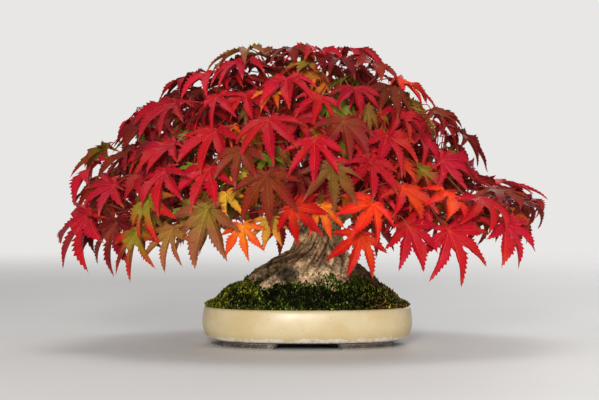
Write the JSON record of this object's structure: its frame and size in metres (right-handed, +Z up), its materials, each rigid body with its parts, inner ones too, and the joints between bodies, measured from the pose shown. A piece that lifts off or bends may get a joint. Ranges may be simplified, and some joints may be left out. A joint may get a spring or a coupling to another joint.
{
  "type": "japanese maple bonsai",
  "caption": "Small Japanese maple tree in autumn leaf, with a flared trunk, surface roots and a mat of moss, growing in a shallow oval glazed pot on ledge feet.",
  "frame": {"origin": "under the middle of the bounding box, on the surface that the pot's feet stand on", "axes": "+X along the pot's long side and the crown's longest spread, the tree's front towards -Y, +Z up"},
  "size_m": [0.3588, 0.2738, 0.222],
  "materials": {
    "pot_glaze": "gloss",
    "screen_plastic": "matte",
    "soil": "matte",
    "moss": "matte",
    "bark": "matte",
    "leaf_crimson": "satin",
    "leaf_scarlet": "satin",
    "leaf_orange": "satin",
    "leaf_olive": "satin",
    "leaf_maroon": "satin"
  },
  "bodies": {
    "root": {"pot": "pot_glaze", "drainage_screen_left": "screen_plastic", "drainage_screen_right": "screen_plastic", "soil": "soil", "moss": "moss", "tree_wood": "bark", "leaf_spray_01": "leaf_maroon", "leaf_spray_02": "leaf_crimson", "leaf_spray_03": "leaf_crimson", "leaf_spray_04": "leaf_crimson", "leaf_spray_05": "leaf_crimson", "leaf_spray_06": "leaf_scarlet", "leaf_spray_07": "leaf_crimson", "leaf_spray_08": "leaf_maroon", "leaf_spray_09": "leaf_crimson", "leaf_spray_10": "leaf_crimson", "leaf_spray_11": "leaf_olive", "leaf_spray_12": "leaf_olive", "leaf_spray_13": "leaf_olive", "leaf_spray_14": "leaf_orange", "leaf_spray_15": "leaf_orange", "leaf_spray_16": "leaf_scarlet", "leaf_spray_17": "leaf_scarlet", "leaf_spray_18": "leaf_crimson", "leaf_spray_19": "leaf_crimson", "leaf_spray_20": "leaf_crimson", "leaf_spray_21": "leaf_olive", "leaf_spray_22": "leaf_crimson", "leaf_spray_23": "leaf_scarlet", "leaf_spray_24": "leaf_maroon", "leaf_spray_25": "leaf_crimson", "leaf_spray_26": "leaf_orange", "leaf_spray_27": "leaf_crimson", "leaf_spray_28": "leaf_olive", "leaf_spray_29": "leaf_crimson", "leaf_spray_30": "leaf_scarlet", "leaf_spray_31": "leaf_maroon", "leaf_spray_32": "leaf_crimson", "leaf_spray_33": "leaf_orange", "leaf_spray_34": "leaf_crimson", "leaf_spray_35": "leaf_olive", "leaf_spray_36": "leaf_crimson", "leaf_spray_37": "leaf_scarlet", "leaf_spray_38": "leaf_maroon", "leaf_spray_39": "leaf_crimson", "leaf_spray_40": "leaf_orange", "leaf_spray_41": "leaf_crimson"}
  },
  "joints": []
}
